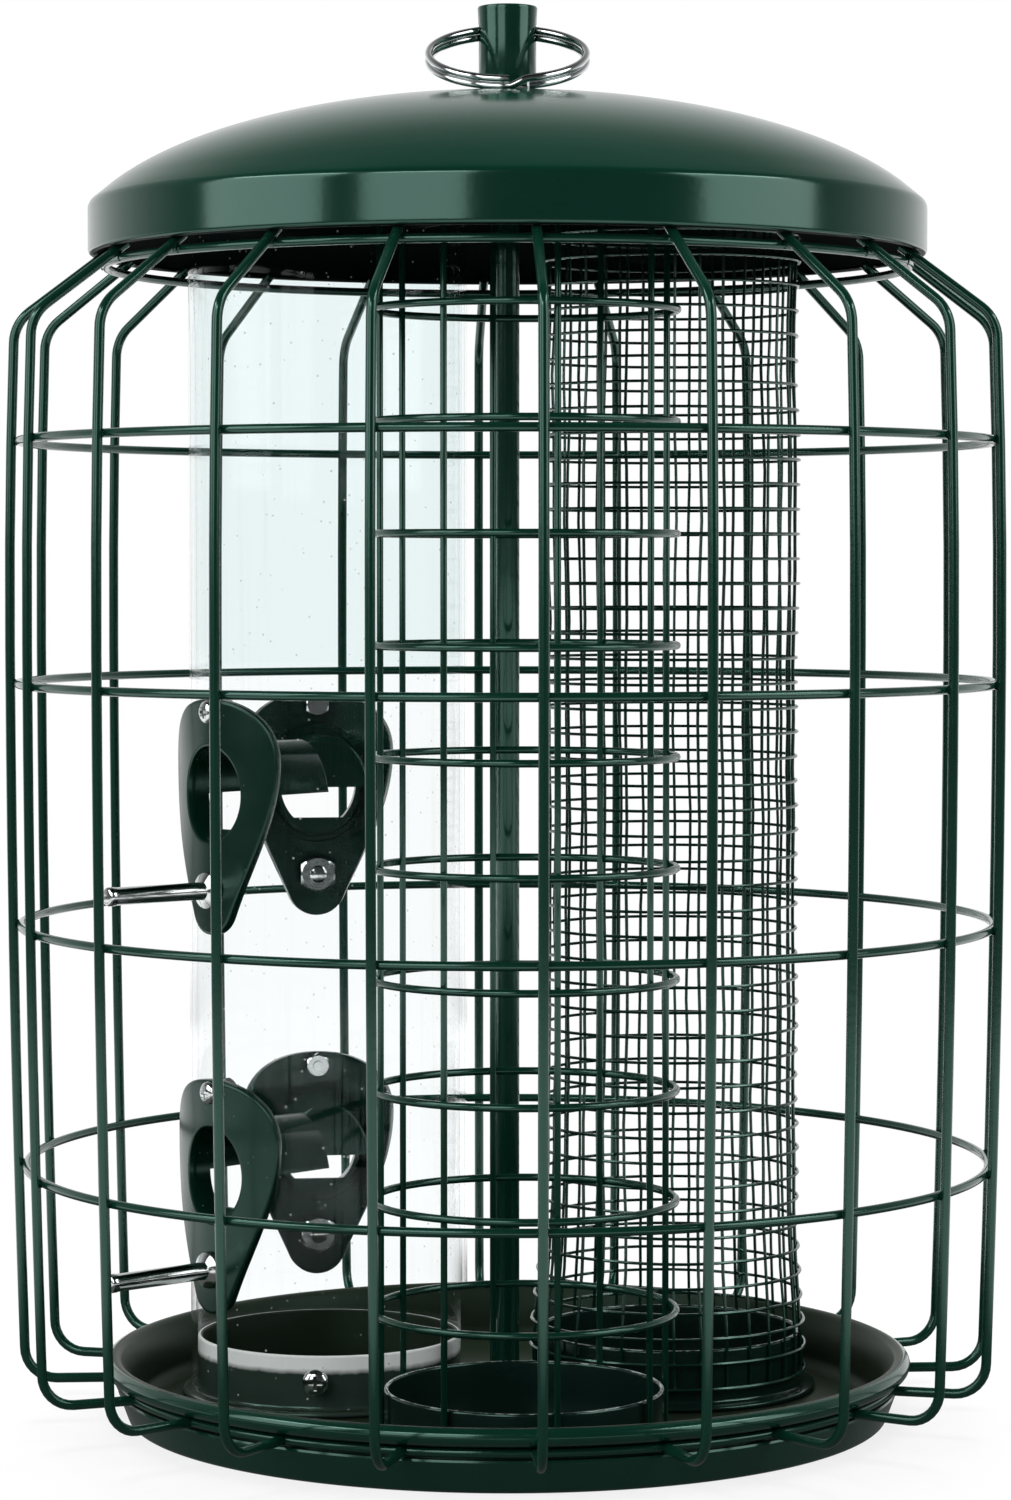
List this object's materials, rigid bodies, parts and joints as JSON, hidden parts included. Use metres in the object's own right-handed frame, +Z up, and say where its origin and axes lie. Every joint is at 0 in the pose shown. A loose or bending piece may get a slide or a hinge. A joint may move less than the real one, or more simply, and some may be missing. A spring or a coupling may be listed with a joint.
{
  "type": "caged bird feeder",
  "caption": "Domed hanging bird feeder with a round wire guard cage round a clear seed tube, a peanut mesh and a fat-ball basket on a dish tray.",
  "frame": {"origin": "centre of the tray's underside, on the face it rests on", "axes": "+Z up along the centre post; the fat-ball basket stands towards -Y, the front of the picture"},
  "size_m": [0.2516, 0.2516, 0.354],
  "materials": {
    "green_paint": "gloss",
    "dark_green_paint": "satin",
    "green_plastic": "gloss",
    "clear_plastic": "clear gloss",
    "bright_steel": "bright",
    "zinc_steel": "zinc plated",
    "black_rubber": "matte"
  },
  "bodies": {
    "feeder": {"tray": "dark_green_paint", "cage_bar_01": "green_paint", "cage_bar_02": "green_paint", "cage_bar_03": "green_paint", "cage_bar_04": "green_paint", "cage_bar_05": "green_paint", "cage_bar_06": "green_paint", "cage_bar_07": "green_paint", "cage_bar_08": "green_paint", "cage_bar_09": "green_paint", "cage_bar_10": "green_paint", "cage_bar_11": "green_paint", "cage_bar_12": "green_paint", "cage_bar_13": "green_paint", "cage_bar_14": "green_paint", "cage_bar_15": "green_paint", "cage_bar_16": "green_paint", "cage_bar_17": "green_paint", "cage_bar_18": "green_paint", "cage_bar_19": "green_paint", "cage_bar_20": "green_paint", "cage_base_hoop": "green_paint", "cage_hoop_1": "green_paint", "cage_hoop_2": "green_paint", "cage_hoop_3": "green_paint", "cage_hoop_4": "green_paint", "cage_top_hoop": "green_paint", "centre_post": "green_paint", "post_washer": "zinc_steel", "post_nut": "zinc_steel", "post_lock_nut": "zinc_steel", "seed_collar": "dark_green_paint", "peanut_collar": "dark_green_paint", "fat_ball_collar": "dark_green_paint", "collar_screw": "bright_steel", "seed_tube": "clear_plastic", "seed_port_1": "green_plastic", "port_screw_1": "bright_steel", "perch_1": "bright_steel", "perch_nut_1": "zinc_steel", "seed_port_2": "green_plastic", "port_screw_2": "bright_steel", "perch_2": "bright_steel", "perch_nut_2": "zinc_steel", "seed_port_3": "green_plastic", "port_screw_3": "bright_steel", "perch_3": "bright_steel", "perch_nut_3": "zinc_steel", "seed_port_4": "green_plastic", "port_screw_4": "bright_steel", "perch_4": "bright_steel", "perch_nut_4": "zinc_steel", "fat_ball_basket": "green_paint", "peanut_mesh": "green_paint"},
    "roof": {"roof": "green_paint", "roof_washer": "black_rubber"},
    "hanger": {"hanger_sleeve": "green_paint"},
    "ring": {"hanging_ring": "bright_steel"}
  },
  "joints": [
    {"name": "roof_lift", "type": "slide", "parent": "feeder", "child": "roof", "axis": [0, 0, 1], "range_m": [0, 0.1]},
    {"name": "sleeve_unscrew", "type": "hinge", "parent": "roof", "child": "hanger", "pos_m": [0, 0, 0.343], "axis": [0, 0, 1], "continuous": true},
    {"name": "ring_swing", "type": "hinge", "parent": "hanger", "child": "ring", "pos_m": [0, 0, 0.34737], "axis": [-1, 0, 0], "range_deg": [0, 230]}
  ]
}
